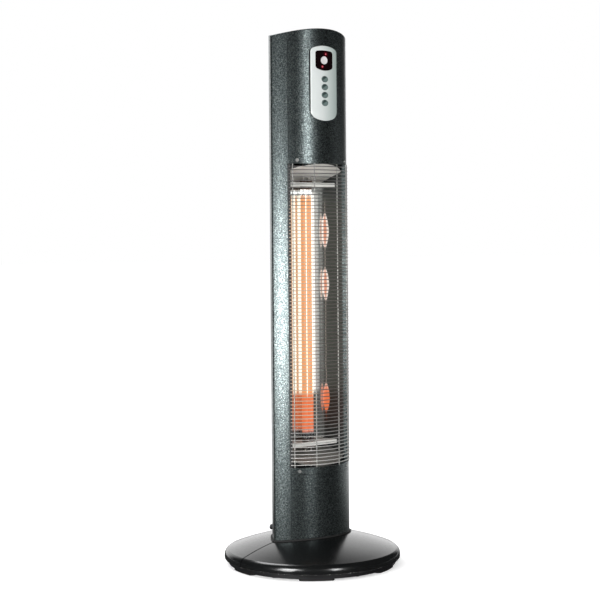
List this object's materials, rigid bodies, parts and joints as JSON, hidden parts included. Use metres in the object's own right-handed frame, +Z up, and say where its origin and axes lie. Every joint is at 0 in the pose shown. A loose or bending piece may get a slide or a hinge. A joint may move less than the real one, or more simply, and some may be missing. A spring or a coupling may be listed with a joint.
{
  "type": "infrared patio heater tower",
  "caption": "Dark lens-shaped infrared heater tower with two upright quartz lamps behind a wire guard and a silver key panel, on a domed round base.",
  "frame": {"origin": "centre of the round base, on the floor under its rubber pads", "axes": "+Z up along the column, -Y the way the lamps and the key panel face, +X to the right as it is seen from the front"},
  "size_m": [0.317, 0.317, 0.96],
  "materials": {
    "powder_coat": "speckled satin",
    "base_cover": "satin",
    "tray_paint": "matt",
    "black_rubber": "matt",
    "cast_weight": "rough",
    "bare_steel": "satin",
    "bright_wire": "bright",
    "rail_paint": "matt",
    "polished_sheet": "polished",
    "lamp_ceramic": "ceramic",
    "quartz": "clear",
    "carbon": "glowing when on",
    "silver_plastic": "silver satin",
    "dark_window": "gloss",
    "button_plastic": "satin",
    "board": "satin",
    "inner_plastic": "matt",
    "bob_brass": "satin"
  },
  "bodies": {
    "heater": {"back_screws": "bare_steel", "ballast": "cast_weight", "base_front_half": "base_cover", "base_rear_half": "base_cover", "base_screws": "bare_steel", "base_tray": "tray_paint", "board_posts": "inner_plastic", "cable_gland": "inner_plastic", "column_bolts": "bare_steel", "column_foot": "bare_steel", "column_gasket": "black_rubber", "control_board": "board", "fascia": "silver_plastic", "filaments": "carbon", "foot_pads": "black_rubber", "gland_nut": "inner_plastic", "guard_clips": "bare_steel", "guard_cross_wires": "bright_wire", "guard_rails": "rail_paint", "guard_screws": "bare_steel", "guard_uprights": "bright_wire", "lamp_bracket_bottom": "polished_sheet", "lamp_bracket_top": "polished_sheet", "lamp_caps": "lamp_ceramic", "lamp_leads": "black_rubber", "light_pipes": "dark_window", "loom": "black_rubber", "loom_clips": "inner_plastic", "lower_baffle": "bare_steel", "lower_band": "powder_coat", "lower_front_panel": "powder_coat", "mains_lead": "black_rubber", "panel_screws": "bare_steel", "power_board": "board", "power_board_posts": "inner_plastic", "quartz_tubes": "quartz", "rear_shell": "powder_coat", "reflector": "polished_sheet", "reflector_bottom_plate": "polished_sheet", "reflector_top_plate": "polished_sheet", "relays": "inner_plastic", "ribbon": "black_rubber", "switches": "inner_plastic", "terminal_block": "inner_plastic", "thermal_cutout": "lamp_ceramic", "tilt_housing": "inner_plastic", "tilt_pin": "bare_steel", "top_cap": "powder_coat", "transformer": "bare_steel", "upper_baffle": "bare_steel", "upper_band": "powder_coat", "upper_front_panel": "powder_coat", "window": "dark_window"},
    "power_button_body": {"power_button": "button_plastic"},
    "key_1_body": {"key_1": "button_plastic"},
    "key_2_body": {"key_2": "button_plastic"},
    "key_3_body": {"key_3": "button_plastic"},
    "key_4_body": {"key_4": "button_plastic"},
    "tilt_pendulum_body": {"tilt_pendulum": "bob_brass"}
  },
  "joints": [
    {"name": "power_button_press", "type": "slide", "parent": "heater", "child": "power_button_body", "axis": [0, 1, 0], "range_m": [0, 0.0008], "stiffness_N_per_m": 1500},
    {"name": "key_1_press", "type": "slide", "parent": "heater", "child": "key_1_body", "axis": [0, 1, 0], "range_m": [0, 0.0008], "stiffness_N_per_m": 1500},
    {"name": "key_2_press", "type": "slide", "parent": "heater", "child": "key_2_body", "axis": [0, 1, 0], "range_m": [0, 0.0008], "stiffness_N_per_m": 1500},
    {"name": "key_3_press", "type": "slide", "parent": "heater", "child": "key_3_body", "axis": [0, 1, 0], "range_m": [0, 0.0008], "stiffness_N_per_m": 1500},
    {"name": "key_4_press", "type": "slide", "parent": "heater", "child": "key_4_body", "axis": [0, 1, 0], "range_m": [0, 0.0008], "stiffness_N_per_m": 1500},
    {"name": "tilt_swing", "type": "hinge", "parent": "heater", "child": "tilt_pendulum_body", "pos_m": [0.045, 0.014, 0.0521], "axis": [0, 1, 0], "range_deg": [-18, 18]}
  ]
}
